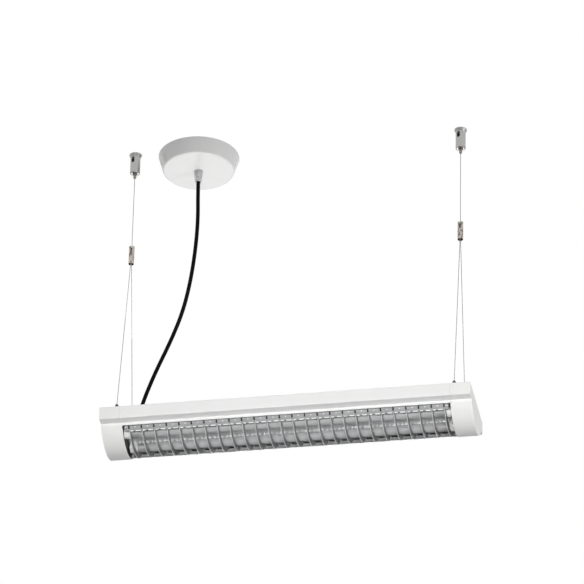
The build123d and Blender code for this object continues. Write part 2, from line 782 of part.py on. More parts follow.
# Yokes: two wires from the lamp's front and rear edges up to a barrel, slotted in front, with a window behind
leg_hole_radius = wire_radius + hole_clearance
leg_ball_z = chamber_bottom + sqrt(leg_ball_radius**2 - leg_hole_radius**2) + seat_gap
leg_foot_z = lamp_top + anchor_height - anchor_pocket + hole_clearance
leg_length = hypot(anchor_y - leg_ball_y, leg_ball_z - leg_foot_z)
for side, sx in sides.items():
    axis_x = sx * wire_x
    with BuildPart() as yoke_barrel:
        with Locations((axis_x, 0, barrel_bottom)):
            Cylinder(barrel_radius, barrel_height, align=(Align.CENTER, Align.CENTER, Align.MIN))
        chamfer(yoke_barrel.edges().filter_by(GeomType.CIRCLE), barrel_radius / 10)
        with Locations((axis_x, 0, chamber_bottom)):
            Cylinder(
                chamber_radius,
                chamber_height,
                align=(Align.CENTER, Align.CENTER, Align.MIN),
                mode=Mode.SUBTRACT,
            )
            Box(
                window_width,
                barrel_radius,
                chamber_height,
                align=(Align.CENTER, Align.MIN, Align.MIN),
                mode=Mode.SUBTRACT,
            )
        with Locations((axis_x, 0, barrel_top)):
            Box(
                slot_width,
                barrel_radius,
                front_slot_depth,
                align=(Align.CENTER, Align.MAX, Align.MAX),
                mode=Mode.SUBTRACT,
            )
        with Locations((axis_x, 0, barrel_bottom)):
            Cylinder(
                barrel_recess_radius,
                barrel_recess_depth,
                align=(Align.CENTER, Align.CENTER, Align.MIN),
                mode=Mode.SUBTRACT,
            )
        hole_start = Vector(axis_x, 0, barrel_bottom + barrel_hole_height)
        hole_plane = Plane(origin=hole_start, z_dir=facing(barrel_hole_azimuth))
        with BuildSketch(hole_plane.offset(barrel_radius - barrel_hole_depth)):
            Circle(barrel_hole_radius)
        extrude(amount=barrel_radius, mode=Mode.SUBTRACT)
        with Locations((axis_x, 0, chamber_top)):
            Box(
                slot_width,
                barrel_radius,
                barrel_top - chamber_top,
                align=(Align.CENTER, Align.MIN, Align.MIN),
                mode=Mode.SUBTRACT,
            )
            Cylinder(
                slot_width / 2,
                barrel_top - chamber_top,
                align=(Align.CENTER, Align.CENTER, Align.MIN),
                mode=Mode.SUBTRACT,
            )
        for sy in rows.values():
            ball_place = (axis_x, sy * leg_ball_y, leg_ball_z)
            slope = (0, sy * (anchor_y - leg_ball_y), leg_foot_z - leg_ball_z)
            with BuildSketch(Plane(origin=ball_place, x_dir=(1, 0, 0), z_dir=slope)):
                Circle(leg_hole_radius)
            extrude(amount=chamber_floor + barrel_radius, mode=Mode.SUBTRACT)
    yoke_barrel.part.label = f"yoke_barrel_{side}"
    export_step(yoke_barrel.part, f"parts/yoke_barrel_{side}.step")

    for row, sy in rows.items():
        ball_place = (axis_x, sy * leg_ball_y, leg_ball_z)
        slope = (0, sy * (anchor_y - leg_ball_y), leg_foot_z - leg_ball_z)
        leg_plane = Plane(origin=ball_place, x_dir=(1, 0, 0), z_dir=slope)
        with BuildPart() as yoke_wire:
            with BuildSketch(leg_plane.offset(leg_ball_radius + seat_gap)):
                Circle(wire_radius)
            extrude(amount=leg_length - leg_ball_radius - seat_gap)
        yoke_wire.part.label = f"yoke_wire_{side}_{row}"
        export_step(yoke_wire.part, f"parts/yoke_wire_{side}_{row}.step")

# Balls at the tops of the yoke wires, and the larger ones at the feet of the ceiling wires
with BuildPart() as yoke_balls:
    for sx in sides.values():
        with Locations((sx * wire_x, -leg_ball_y, leg_ball_z), (sx * wire_x, leg_ball_y, leg_ball_z)):
            Sphere(leg_ball_radius)
yoke_balls.part.label = "yoke_balls"
export_step(yoke_balls.part, "parts/yoke_balls.step")

with BuildPart() as wire_balls:
    with Locations((-wire_x, 0, wire_ball_z), (wire_x, 0, wire_ball_z)):
        Sphere(wire_ball_radius)
wire_balls.part.label = "wire_balls"
export_step(wire_balls.part, "parts/wire_balls.step")

# Ceiling couplers: a screwed-on base, a turned body with a wire grip, and a plunger that frees the wire
for side, sx in sides.items():
    axis_x = sx * wire_x
    with BuildPart() as coupler_base:
        with BuildSketch(upright(axis_x, 0)):
            with BuildLine():
                Polyline(
                    (screw_hole_radius, 0),
                    (flange_radius, 0),
                    (flange_radius, -flange_edge),
                    (coupler_radius, -flange_height),
                    (spigot_radius, -flange_height),
                    (spigot_radius, -flange_height - spigot_length),
                    (screw_hole_radius, -flange_height - spigot_length),
                    close=True,
                )
            make_face()
        revolve(axis=pillar(axis_x, 0))
    coupler_base.part.label = f"coupler_base_{side}"
    export_step(coupler_base.part, f"parts/coupler_base_{side}.step")

    with BuildPart() as coupler_body:
        with BuildSketch(upright(axis_x, 0)):
            with BuildLine():
                Polyline(
                    (spigot_radius + hole_clearance, -flange_height),
                    (coupler_radius, -flange_height),
                    (coupler_radius, coupler_bottom + coupler_foot_height),
                    (coupler_foot_radius, coupler_bottom),
                    (coupler_boss_radius, coupler_bottom),
                    (coupler_boss_radius, boss_bottom),
                    (plunger_hole_radius, boss_bottom),
                    (plunger_hole_radius, -cone_drop - cone_height),
                    (spring_bore_radius, -cone_drop),
                    (spring_bore_radius, -spring_seat_drop),
                    (tail_bore_radius, -spring_seat_drop),
                    (tail_bore_radius, -flange_height - spigot_length - hole_clearance),
                    (spigot_radius + hole_clearance, -flange_height - spigot_length - hole_clearance),
                    close=True,
                )
            make_face()
        revolve(axis=pillar(axis_x, 0))
        hole_plane = Plane((axis_x, 0, -side_hole_drop), x_dir=(0, 0, 1), z_dir=facing(side_hole_azimuth))
        with BuildSketch(hole_plane):
            SlotOverall(side_hole_height, side_hole_width)
        extrude(amount=flange_radius, mode=Mode.SUBTRACT)
    coupler_body.part.label = f"coupler_body_{side}"
    export_step(coupler_body.part, f"parts/coupler_body_{side}.step")

    with BuildPart() as coupler_spring:
        with BuildSketch(Plane.XY.offset(-plunger_top_drop + seat_gap)):
            with Locations((axis_x, 0)):
                Circle(spring_outer_radius)
                Circle(spring_inner_radius, mode=Mode.SUBTRACT)
        extrude(amount=plunger_top_drop - spring_seat_drop - 2 * seat_gap)
    coupler_spring.part.label = f"coupler_spring_{side}"
    export_step(coupler_spring.part, f"parts/coupler_spring_{side}.step")

    with BuildPart() as release_plunger:
        with BuildSketch(upright(axis_x, 0)):
            with BuildLine():
                Polyline(
                    (plunger_bore_radius, -plunger_top_drop),
                    (plunger_radius, -plunger_top_drop),
                    (plunger_radius, boss_bottom),
                    (plunger_tip_radius, boss_bottom),
                    (plunger_tip_radius, plunger_bottom),
                    (plunger_bore_radius, plunger_bottom),
                    close=True,
                )
            make_face()
        revolve(axis=pillar(axis_x, 0))
        for index in range(grip_ball_count):
            turn = 2 * pi * index / grip_ball_count
            pocket = Plane(
                origin=(axis_x, 0, -grip_ball_drop),
                x_dir=(-sin(turn), cos(turn), 0),
                z_dir=(cos(turn), sin(turn), 0),
            )
            with BuildSketch(pocket):
                Circle(grip_ball_radius + hole_clearance)
            extrude(amount=2 * plunger_radius, mode=Mode.SUBTRACT)
    release_plunger.part.label = f"release_plunger_{side}"
    export_step(release_plunger.part, f"parts/release_plunger_{side}.step")

    grip_ball_ring = wire_radius + seat_gap + grip_ball_radius
    with BuildPart() as grip_balls:
        for index in range(grip_ball_count):
            turn = 2 * pi * index / grip_ball_count
            ball_x = axis_x + grip_ball_ring * cos(turn)
            with Locations((ball_x, grip_ball_ring * sin(turn), -grip_ball_drop)):
                Sphere(grip_ball_radius)
    grip_balls.part.label = f"grip_balls_{side}"
    export_step(grip_balls.part, f"parts/grip_balls_{side}.step")

    wire_foot_z = wire_ball_z + wire_ball_radius + seat_gap
    with BuildPart() as ceiling_wire:
        with BuildSketch(Plane.XY.offset(wire_foot_z)):
            with Locations((axis_x, 0)):
                Circle(wire_radius)
        extrude(amount=-wire_end_drop - wire_foot_z)
    ceiling_wire.part.label = f"ceiling_wire_{side}"
    export_step(ceiling_wire.part, f"parts/ceiling_wire_{side}.step")

# Canopy: a tapered white cup over the ceiling outlet, with a screw hole at each side and a round knockout
canopy_slope = (canopy_top_radius - canopy_bottom_radius) / canopy_height
with BuildPart() as canopy_cover:
    with BuildSketch(upright(canopy_x, canopy_y)):
        with BuildLine():
            FilletPolyline(
                (grip_thread_radius + hole_clearance, canopy_under),
                (canopy_bottom_radius, canopy_under),
                (canopy_top_radius, 0),
                radius=canopy_edge_radius,
            )
            Line((canopy_top_radius, 0), (canopy_top_radius - canopy_wall, 0))
            FilletPolyline(
                (canopy_top_radius - canopy_wall, 0),
                (canopy_bottom_radius - canopy_wall + canopy_wall * canopy_slope, canopy_under + canopy_wall),
                (grip_thread_radius + hole_clearance, canopy_under + canopy_wall),
                radius=canopy_edge_radius - canopy_wall,
            )
            Line(
                (grip_thread_radius + hole_clearance, canopy_under + canopy_wall),
                (grip_thread_radius + hole_clearance, canopy_under),
            )
        make_face()
    revolve(axis=pillar(canopy_x, canopy_y))
    with BuildSketch(Plane.YZ.offset(canopy_x)):
        with Locations((canopy_y, -side_screw_drop)):
            Circle(side_screw_radius + hole_clearance)
    extrude(amount=canopy_top_radius, both=True, mode=Mode.SUBTRACT)
    outwards = facing(knockout_azimuth)
    wall_lean = Vector(0, 0, canopy_bottom_radius - canopy_top_radius)
    wall_normal = (outwards * canopy_height + wall_lean).normalized()
    knockout_reach = canopy_top_radius - canopy_slope * knockout_drop
    knockout_place = Vector(canopy_x, canopy_y, -knockout_drop) + outwards * knockout_reach
    with BuildSketch(Plane(origin=knockout_place - wall_normal * knockout_depth, z_dir=wall_normal)):
        Circle(knockout_radius)
    extrude(amount=knockout_radius, mode=Mode.SUBTRACT)
canopy_cover.part.label = "canopy_cover"
export_step(canopy_cover.part, "parts/canopy_cover.step")

# Ceiling bracket: a slotted strap with a tab turned down at each end, just inside the canopy's wall
wall_at_tab = canopy_top_radius - canopy_wall - canopy_slope * bracket_tab_height
tab_reach = sqrt(wall_at_tab**2 - (bracket_width / 2) ** 2) - bracket_tab_gap
with BuildPart() as canopy_bracket:
    with Locations((canopy_x, canopy_y, 0)):
        Box(
            2 * tab_reach,
            bracket_width,
            bracket_tab_height,
            align=(Align.CENTER, Align.CENTER, Align.MAX),
        )
    with Locations((canopy_x, canopy_y, -bracket_sheet)):
        Box(
            2 * (tab_reach - bracket_sheet),
            bracket_width,
            bracket_tab_height,
            align=(Align.CENTER, Align.CENTER, Align.MAX),
            mode=Mode.SUBTRACT,
        )
    with BuildSketch(Plane.XY):
        with Locations((canopy_x, canopy_y)):
            with GridLocations(bracket_slot_spacing, 0, 2, 1):
                SlotOverall(bracket_slot_length, 2 * bracket_slot_radius)
            with Locations((0, (bracket_width - bracket_wire_hole_radius) / 2)):
                Circle(bracket_wire_hole_radius)
    extrude(amount=-bracket_sheet, mode=Mode.SUBTRACT)
    with BuildSketch(Plane.YZ.offset(canopy_x)):
        with Locations((canopy_y, -side_screw_drop)):
            Circle(side_screw_radius + hole_clearance)
    extrude(amount=canopy_top_radius, both=True, mode=Mode.SUBTRACT)
canopy_bracket.part.label = "canopy_bracket"
export_step(canopy_bracket.part, "parts/canopy_bracket.step")

# Headless side screws through the canopy's wall into the bracket's tabs
screw_end = canopy_top_radius - canopy_slope * (side_screw_drop + side_screw_radius)
with BuildPart() as canopy_side_screws:
    for sx in sides.values():
        with BuildSketch(Plane.YZ.offset(canopy_x + sx * screw_end)):
            with Locations((canopy_y, -side_screw_drop)):
                Circle(side_screw_radius)
        extrude(amount=-sx * side_screw_length)
canopy_side_screws.part.label = "canopy_side_screws"
export_step(canopy_side_screws.part, "parts/canopy_side_screws.step")

# Terminal block under the bracket, where the cord meets the supply
rose_block_under = -bracket_sheet - rose_block_height
with BuildPart() as canopy_terminal:
    with Locations((canopy_x, canopy_y, -bracket_sheet)):
        Box(
            rose_block_length,
            rose_block_width,
            rose_block_height,
            align=(Align.CENTER, Align.CENTER, Align.MAX),
        )
    with BuildSketch(Plane.XZ.offset(-canopy_y)):
        with Locations((canopy_x, -bracket_sheet - rose_block_height / 2)):
            with GridLocations(rose_block_length / 3, 0, 3, 1):
                Circle(terminal_entry_radius)
    extrude(amount=rose_block_width, both=True, mode=Mode.SUBTRACT)
canopy_terminal.part.label = "canopy_terminal"
export_step(canopy_terminal.part, "parts/canopy_terminal.step")

# Cord grip: a clear tapered sleeve under the canopy, its nut inside and its clamping screw
grip_bore = cord_radius + hole_clearance
grip_screw_plane = Plane(
    origin=(canopy_x, canopy_y, canopy_under - grip_screw_drop),
    z_dir=facing(grip_screw_azimuth),
)
grip_screw_reach = grip_top_radius + (grip_bottom_radius - grip_top_radius) * grip_screw_drop / grip_length
with BuildPart() as cord_grip:
    with BuildSketch(upright(canopy_x, canopy_y)):
        with BuildLine():
            Polyline(
                (grip_bore, grip_bottom),
                (grip_bottom_radius, grip_bottom),
                (grip_top_radius, canopy_under),
                (grip_thread_radius, canopy_under),
                (grip_thread_radius, canopy_under + grip_thread_length),
                (grip_bore, canopy_under + grip_thread_length),
                close=True,
            )
        make_face()
    revolve(axis=pillar(canopy_x, canopy_y))
    with BuildSketch(grip_screw_plane):
        Circle(grip_screw_radius + hole_clearance)
    extrude(amount=2 * grip_top_radius, mode=Mode.SUBTRACT)
cord_grip.part.label = "cord_grip"
export_step(cord_grip.part, "parts/cord_grip.step")

with BuildPart() as cord_grip_screw:
    with BuildSketch(grip_screw_plane.offset(cord_radius + hole_clearance)):
        Circle(grip_screw_radius)
    extrude(amount=grip_screw_reach - cord_radius)
cord_grip_screw.part.label = "cord_grip_screw"
export_step(cord_grip_screw.part, "parts/cord_grip_screw.step")

with BuildPart() as cord_grip_nut:
    with BuildSketch(Plane.XY.offset(canopy_under + canopy_wall)):
        with Locations((canopy_x, canopy_y)):
            RegularPolygon(grip_nut_radius, 6)
            Circle(grip_thread_radius + hole_clearance, mode=Mode.SUBTRACT)
    extrude(amount=grip_nut_height)
cord_grip_nut.part.label = "cord_grip_nut"
export_step(cord_grip_nut.part, "parts/cord_grip_nut.step")

# Power cord, from the canopy's terminal block to the gland: how far along towards the gland, and the height
cord_span = hypot(gland_x - canopy_x, canopy_y)
cord_heading = atan2(-canopy_y, gland_x - canopy_x)
cord_steps = [
    (0, rose_block_under),
    (0, -72),
    (-2, -132),
    (1, -196),
    (8, -262),
    (20, -326),
    (40, -388),
    (63, -448),
    (80, -500),
    (cord_span, -530),
    (cord_span, gland_top - cord_in_gland),
]
cord_points = [
    Vector(canopy_x + along * cos(cord_heading), canopy_y + along * sin(cord_heading), height)
    for along, height in cord_steps
]
cord_runs = [after - before for before, after in zip(cord_points, cord_points[1:])]
cord_radii = [
    0.45 * min(a.length, b.length) / tan(radians(a.get_angle(b)) / 2)
    for a, b in zip(cord_runs, cord_runs[1:])
]
with BuildPart() as power_cord:
    with BuildLine() as cord_line:
        FilletPolyline(*cord_points, radius=cord_radii)
    with BuildSketch(Plane(origin=cord_points[0], z_dir=(0, 0, -1))):
        Circle(cord_radius)
    sweep(path=cord_line.wire())
power_cord.part.label = "power_cord"
export_step(power_cord.part, "parts/power_cord.step")
cord_length = cord_line.wire().length
print("cord radii", [round(radius) for radius in cord_radii])
print("cord length", round(cord_length, 1))
print("cord volume over section times length", power_cord.part.volume / (pi * cord_radius**2 * cord_length))
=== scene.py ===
import json
import math

import bmesh
import bpy
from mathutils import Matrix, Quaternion, Vector


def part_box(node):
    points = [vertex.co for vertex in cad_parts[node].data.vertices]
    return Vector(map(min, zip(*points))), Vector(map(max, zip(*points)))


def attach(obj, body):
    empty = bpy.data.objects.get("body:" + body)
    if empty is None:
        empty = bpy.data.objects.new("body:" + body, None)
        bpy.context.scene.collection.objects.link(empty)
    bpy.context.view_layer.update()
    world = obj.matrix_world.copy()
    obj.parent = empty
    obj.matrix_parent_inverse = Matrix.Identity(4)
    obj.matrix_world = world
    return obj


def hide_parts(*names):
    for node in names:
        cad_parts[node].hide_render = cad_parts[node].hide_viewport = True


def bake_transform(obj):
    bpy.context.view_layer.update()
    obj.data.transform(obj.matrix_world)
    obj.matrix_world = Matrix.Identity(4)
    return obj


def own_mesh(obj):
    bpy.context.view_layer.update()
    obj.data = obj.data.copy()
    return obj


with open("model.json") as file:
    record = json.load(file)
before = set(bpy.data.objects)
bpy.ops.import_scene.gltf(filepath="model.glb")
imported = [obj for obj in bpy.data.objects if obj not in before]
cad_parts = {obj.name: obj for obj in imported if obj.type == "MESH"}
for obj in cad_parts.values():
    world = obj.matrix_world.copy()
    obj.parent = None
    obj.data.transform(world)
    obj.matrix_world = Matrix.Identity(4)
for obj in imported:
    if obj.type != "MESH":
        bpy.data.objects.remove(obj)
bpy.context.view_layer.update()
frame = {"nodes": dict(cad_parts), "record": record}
cadNodes = frame["nodes"]
slotOf = {row["node"]: row["material_slot"] for row in frame["record"]["subparts"]}
print("frame loaded:", len(cadNodes), "nodes")

sides = ("left", "right")
rows = ("front", "rear")


def boxMiddle(node):
    low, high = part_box(node)
    return (Vector(low) + Vector(high)) / 2


# Camera: a long lens from below and a little to the lamp's right, rolled by a degree
cameraSet = {
    "aim": Vector((-0.0036, 0.0, -0.311)),
    "azimuth": math.radians(10.67),
    "below": math.radians(30.67),
    "roll": math.radians(1.30),
    "distance": 9.0,
    "lens": 314.7,
    "sensor": 36.0,
    "clipEnd": 100.0,
}


def addCamera(values):
    a, b = values["azimuth"], values["below"]
    back = Vector((math.sin(a) * math.cos(b), -math.cos(a) * math.cos(b), -math.sin(b)))
    data = bpy.data.cameras.new("photoCamera")
    data.lens = values["lens"]
    data.sensor_width = values["sensor"]
    data.clip_end = values["clipEnd"]
    camera = bpy.data.objects.new("photoCamera", data)
    camera.location = values["aim"] + back * values["distance"]
    camera.rotation_mode = "QUATERNION"
    level = (-back).to_track_quat("-Z", "Y")
    camera.rotation_quaternion = level @ Quaternion((0.0, 0.0, 1.0), values["roll"])
    bpy.context.collection.objects.link(camera)
    bpy.context.scene.camera = camera


addCamera(cameraSet)
bpy.context.scene.view_settings.view_transform = "Standard"
print("camera set")


# Node trees: two helpers that the materials, the surroundings and Geometry Nodes share
def addNode(tree, kind, links=None, **settings):
    node = tree.nodes.new(kind)
    for key, value in settings.items():
        setattr(node, key, value)
    for key, source in (links or {}).items():
        if hasattr(source, "is_linked"):
            tree.links.new(source, node.inputs[key])
        else:
            node.inputs[key].default_value = source
    return node


def mathNode(tree, operation, first, second=0.0):
    return addNode(tree, "ShaderNodeMath", {0: first, 1: second}, operation=operation).outputs["Value"]


# Node materials: small helpers, then one function for each kind of finish
along = (30.0, 2400.0, 2400.0)  # lines that run along the lamp
across = (2400.0, 40.0, 40.0)  # lines that run across the lamp
turned = (60.0, 60.0, 3200.0)  # rings round an upright axis
tumbled = (700.0, 700.0, 700.0)  # no direction
evenly = (1.0, 1.0, 1.0)  # a pattern as large in every direction

origin = (0.0, 0.0, 0.0)
alongX = (1.0, 0.0, 0.0)
upright = (0.0, 0.0, 1.0)
roundX = (0.0, 1.0, 1.0)
roundZ = (1.0, 1.0, 0.0)

mixSockets = {"RGBA": (6, 7, 2), "FLOAT": (2, 3, 0)}  # first, second and result of a Mix node


def shaderOf(material):
    return material.node_tree.nodes["Principled BSDF"]


def newFinish(name, color, roughness, metallic=0.0):
    material = bpy.data.materials.new(name)
    material.use_nodes = True
    shader = shaderOf(material)
    shader.inputs["Base Color"].default_value = (*color, 1.0)
    shader.inputs["Roughness"].default_value = roughness
    shader.inputs["Metallic"].default_value = metallic
    return material, material.node_tree, shader


def objectPoint(tree, scale, shift=origin):
    coords = addNode(tree, "ShaderNodeTexCoord")
    links = {"Vector": coords.outputs["Object"], "Location": shift, "Scale": scale}
    return addNode(tree, "ShaderNodeMapping", links).outputs["Vector"]


def noiseOn(tree, scale, stretch=evenly, detail=3.0):
    links = {"Vector": objectPoint(tree, stretch), "Scale": scale, "Detail": detail}
    return addNode(tree, "ShaderNodeTexNoise", links).outputs["Fac"]


def spread(tree, value, low, high, fromLow=0.3, fromHigh=0.7):
    links = {"Value": value, "From Min": fromLow, "From Max": fromHigh, "To Min": low, "To Max": high}
    return addNode(tree, "ShaderNodeMapRange", links).outputs["Result"]


def blendColors(tree, value, dark, light, fromLow=0.3, fromHigh=0.7):
    ramp = addNode(tree, "ShaderNodeValToRGB", {"Fac": value})
    stops = ramp.color_ramp.elements
    stops[0].position, stops[1].position = fromLow, fromHigh
    stops[0].color, stops[1].color = (*dark, 1.0), (*light, 1.0)
    return ramp.outputs["Color"]


def setLook(tree, shader, color, roughness):
    tree.links.new(color, shader.inputs["Base Color"])
    tree.links.new(roughness, shader.inputs["Roughness"])


def addBump(tree, shader, height, distance):
    bump = addNode(tree, "ShaderNodeBump", {"Height": height, "Distance": distance})
    tree.links.new(bump.outputs["Normal"], shader.inputs["Normal"])


def scaled(color, share):
    return tuple(channel * share for channel in color)


def distanceFrom(tree, middle, axes):
    # how far a point lies from a level, a line or a spot: axes has a 1 for each direction that counts
    shift = [-at * axis for at, axis in zip(middle, axes)]
    point = objectPoint(tree, axes, shift)
    return addNode(tree, "ShaderNodeVectorMath", {0: point}, operation="LENGTH").outputs["Value"]


def tintWhere(tree, shader, value, low, high, color, roughness):
    # lay another colour and gloss over a finish, rising as the value goes from low to high
    share = spread(tree, value, 0.0, 1.0, low, high)
    layers = (("Base Color", "RGBA", (*color, 1.0)), ("Roughness", "FLOAT", roughness))
    for socket, kind, over in layers:
        first, second, result = mixSockets[kind]
        under = shader.inputs[socket].links[0].from_socket
        mix = addNode(tree, "ShaderNodeMix", {0: share, first: under, second: over}, data_type=kind)
        tree.links.new(mix.outputs[result], shader.inputs[socket])


# Paint or moulded plastic: a faint cloudiness, a fine orange peel and uneven gloss
coatLook = {"cloudScale": 18.0, "peelDetail": 2.0, "glossier": 0.05, "duller": 0.06}


def coatedFinish(name, color, roughness, grain, depth, cloud=0.975):
    material, tree, shader = newFinish(name, color, roughness)
    clouds = noiseOn(tree, coatLook["cloudScale"])
    peel = noiseOn(tree, grain, detail=coatLook["peelDetail"])
    gloss = spread(tree, peel, roughness - coatLook["glossier"], roughness + coatLook["duller"])
    setLook(tree, shader, blendColors(tree, clouds, scaled(color, cloud), color), gloss)
    addBump(tree, shader, peel, depth)
    return material


# Plated, drawn or turned metal: fine lines along one direction, in gloss and relief, and faint stains
metalLook = {"stainScale": 60.0, "lineDetail": 4.0, "glossier": 0.75, "duller": 1.3}


def metalFinish(name, color, roughness, stretch, grain=1.0, depth=2e-6, contrast=0.88, metallic=1.0):
    material, tree, shader = newFinish(name, color, roughness, metallic)
    lines = noiseOn(tree, grain, stretch, metalLook["lineDetail"])
    stains = noiseOn(tree, metalLook["stainScale"])
    gloss = spread(tree, lines, roughness * metalLook["glossier"], roughness * metalLook["duller"])
    setLook(tree, shader, blendColors(tree, stains, scaled(color, contrast), color), gloss)
    addBump(tree, shader, lines, depth)
    return material


# Tubes: white phosphor coat behind clear glass, greyer towards the ends
tubeLook = {
    "coat": (0.50, 0.505, 0.51),
    "ends": (0.445, 0.445, 0.435),
    "endLength": 0.03,
    "glass": 0.7,
    "glassRoughness": 0.05,
    "roughness": 0.16,
    "gloss": (0.13, 0.22),
    "powderScale": 260.0,
    "powderDetail": 5.0,
    "powderShare": 0.12,
    "blend": (0.05, 1.0),
}


def tubeFinish(values):
    material, tree, shader = newFinish("tubeGlass", values["coat"], values["roughness"])
    shader.inputs["Coat Weight"].default_value = values["glass"]
    shader.inputs["Coat Roughness"].default_value = values["glassRoughness"]
    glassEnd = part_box("tube_glass_front")[1].x
    fromMiddle = distanceFrom(tree, origin, alongX)
    fade = spread(tree, fromMiddle, 0.0, 1.0, glassEnd - values["endLength"], glassEnd)
    powder = noiseOn(tree, values["powderScale"], detail=values["powderDetail"])
    mottled = mathNode(tree, "ADD", mathNode(tree, "MULTIPLY", powder, values["powderShare"]), fade)
    color = blendColors(tree, mottled, values["coat"], values["ends"], *values["blend"])
    setLook(tree, shader, color, spread(tree, powder, *values["gloss"]))
    return material


# Cord grip: clear moulded plastic, a little cloudy
gripLook = {
    "color": (0.88, 0.885, 0.89),
    "dark": (0.86, 0.865, 0.87),
    "light": (0.90, 0.905, 0.91),
    "roughness": 0.44,
    "gloss": (0.40, 0.48),
    "clearness": 0.55,
    "refraction": 1.49,
    "cloudScale": 240.0,
    "depth": 5e-7,
}


def gripFinish(values):
    material, tree, shader = newFinish("clearGrip", values["color"], values["roughness"])
    shader.inputs["Transmission Weight"].default_value = values["clearness"]
    shader.inputs["IOR"].default_value = values["refraction"]
    cloud = noiseOn(tree, values["cloudScale"])
    color = blendColors(tree, cloud, values["dark"], values["light"])
    setLook(tree, shader, color, spread(tree, cloud, *values["gloss"]))
    addBump(tree, shader, cloud, values["depth"])
    return material


# Cord: matt black plastic sheath
sheathLook = {"color": (0.002, 0.002, 0.002), "roughness": 0.55, "specular": 0.05}


def sheathFinish(values):
    material = coatedFinish("blackSheath", values["color"], values["roughness"], 1800.0, 2e-6, 0.7)
    shaderOf(material).inputs["Specular IOR Level"].default_value = values["specular"]
    return material


# Louvre blades: folded sheet whose darker flanks are painted shade and reflection, with a light lower
# edge that is a painted highlight
louvreCurve = {
    "axisHeight": -0.544426,
    "radius": 0.070824,
    "bladeEdge": 0.069974,
    "slotAngle": math.radians(48.05),
    "hemAngle": math.radians(42.3),
}
bladeLook = {
    "paintedShadeFlanks": ((0.36, 0.365, 0.37), 0.34),
    "metallic": 0.5,
    "edge": ((0.94, 0.945, 0.95), 0.35),
    "highlightEdgeBand": (0.0007, 0.0003),
}


def bladeFinish(values):
    material = metalFinish("bladeSheet", *values["paintedShadeFlanks"], across, metallic=values["metallic"])
    tree = material.node_tree
    outwards = distanceFrom(tree, (0.0, 0.0, louvreCurve["axisHeight"]), roundX)
    low, high = (louvreCurve["bladeEdge"] - width for width in values["highlightEdgeBand"])
    # painted highlight: the blade's lower edge made lighter than its flanks
    tintWhere(tree, shaderOf(material), outwards, low, high, *values["edge"])
    return material


# Housing profile: white coat, with bare metal between the rims, where the louvre sits, painted dark grey
# there as painted shade on that metal
profileLook = {
    "coat": ((0.86, 0.86, 0.855), 0.40),
    "bareInShade": ((0.40, 0.405, 0.41), 0.42),
    "bareInShadeMiddle": (0.0, 0.0, -0.5846),
    "bareInShadeReach": (0.0, 0.0560, 0.024),
    "bareInShadeBand": (0.999, 0.996),
}


def profileFinish(values):
    material = coatedFinish("whiteCoat", *values["coat"], 1500.0, 3e-6)
    tree = material.node_tree
    axes = [1.0 / reach if reach else 0.0 for reach in values["bareInShadeReach"]]
    inside = distanceFrom(tree, values["bareInShadeMiddle"], axes)
    # painted shade: the bare metal inside the rims made darker than the metal itself
    tintWhere(tree, shaderOf(material), inside, *values["bareInShadeBand"], *values["bareInShade"])
    return material


# Yoke barrels: warm nickel with dark patches outside that are painted reflections, and the bore darkened
# inside as painted shade
barrelLook = {
    "nickel": ((0.50, 0.45, 0.40), 0.24),
    "paintedReflections": ((0.17, 0.15, 0.125), 0.30),
    "paintedReflectionScale": 300.0,
    "paintedReflectionStretch": (1.0, 1.0, 0.35),
    "paintedReflectionBand": (0.50, 0.60),
    "inside": ((0.03, 0.022, 0.018), 0.6),
    "insideBand": (0.0002, 0.0005),
}


def barrelFinish(side, values):
    node = "yoke_barrel_" + side
    low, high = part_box(node)
    reach = (high[0] - low[0]) / 2
    material = metalFinish("warmNickel_" + side, *values["nickel"], turned)
    tree, shader = material.node_tree, shaderOf(material)
    inwards = distanceFrom(tree, boxMiddle(node), roundZ)
    paintedReflections = noiseOn(tree, values["paintedReflectionScale"], values["paintedReflectionStretch"], detail=1.0)
    # painted reflection: dark patches standing in for dark surroundings seen in the nickel
    tintWhere(tree, shader, paintedReflections, *values["paintedReflectionBand"], *values["paintedReflections"])
    wallFrom, wallTo = (reach - depth for depth in values["insideBand"])
    # painted shade: the bore darkened inside
    tintWhere(tree, shader, inwards, wallFrom, wallTo, *values["inside"])
    return material


# Couplers: satin nickel with polished faces below inside a grey edge, the faces also lighter in colour as
# a painted highlight, and a boss darkened as a painted reflection
couplerLook = {
    "nickel": ((0.45, 0.45, 0.445), 0.42),
    "boss": ((0.10, 0.088, 0.08), 0.45),
    "bossBand": (0.0002, 0.0004),
    "faces": ((0.80, 0.80, 0.795), 0.16),
    "faceHeights": (-0.040, -0.0438),
    "faceBand": (0.00025, 0.0001),
    "edge": ((0.42, 0.42, 0.415), 0.42),
    "edgeRadius": 0.0070,
    "edgeWidth": 0.0002,
}


def couplerFinish(side, values):
    material = metalFinish("couplerNickel_" + side, *values["nickel"], turned)
    tree, shader = material.node_tree, shaderOf(material)
    underside = values["faceHeights"][0]
    bossFrom, bossTo = (-underside + depth for depth in values["bossBand"])
    # painted reflection: the boss below the underside darkened to a dark brown
    tintWhere(tree, shader, distanceFrom(tree, origin, upright), bossFrom, bossTo, *values["boss"])
    # painted highlight: the flat faces below made lighter in colour as well as polished
    for height in values["faceHeights"]:
        away = distanceFrom(tree, (0.0, 0.0, height), upright)
        tintWhere(tree, shader, away, *values["faceBand"], *values["faces"])
    outwards = distanceFrom(tree, boxMiddle("coupler_body_" + side), roundZ)
    edge = values["edgeRadius"]
    tintWhere(tree, shader, outwards, edge - values["edgeWidth"], edge, *values["edge"])
    return material


